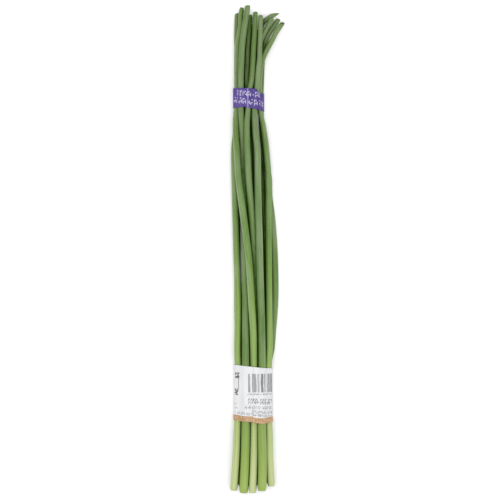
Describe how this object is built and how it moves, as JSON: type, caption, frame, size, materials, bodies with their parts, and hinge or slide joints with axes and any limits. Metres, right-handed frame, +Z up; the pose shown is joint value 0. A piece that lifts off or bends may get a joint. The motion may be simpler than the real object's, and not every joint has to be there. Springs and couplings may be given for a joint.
{
  "type": "bunch of garlic sprouts",
  "caption": "Cut garlic flower stalks lying as a bunch, held by a wide printed wrap near the butts and a purple tape near the curving tips.",
  "frame": {"origin": "on the table, under the middle of the lying bunch", "axes": "+Y along the bunch from the butts to the tips, +X across it, +Z up from the table"},
  "size_m": [0.0514, 0.4574, 0.0238],
  "materials": {
    "stalk_green": "fresh plant stalk, mid green with a waxy bloom",
    "stalk_blue_green": "fresh plant stalk, blue-green with a strong waxy bloom",
    "stalk_yellow_green": "fresh plant stalk, yellow-green and paler at the butt",
    "label_film": "white printed film with a brown strip, soft sheen",
    "tape_film": "purple binding tape with pale print"
  },
  "bodies": {
    "root": {"stalk_01": "stalk_yellow_green", "stalk_02": "stalk_blue_green", "stalk_03": "stalk_yellow_green", "stalk_04": "stalk_blue_green", "stalk_05": "stalk_yellow_green", "stalk_06": "stalk_green", "stalk_07": "stalk_green", "stalk_08": "stalk_green", "stalk_09": "stalk_blue_green", "stalk_10": "stalk_green", "stalk_11": "stalk_green", "stalk_12": "stalk_blue_green", "stalk_13": "stalk_yellow_green", "label_wrap": "label_film", "tape_band": "tape_film"}
  },
  "joints": []
}
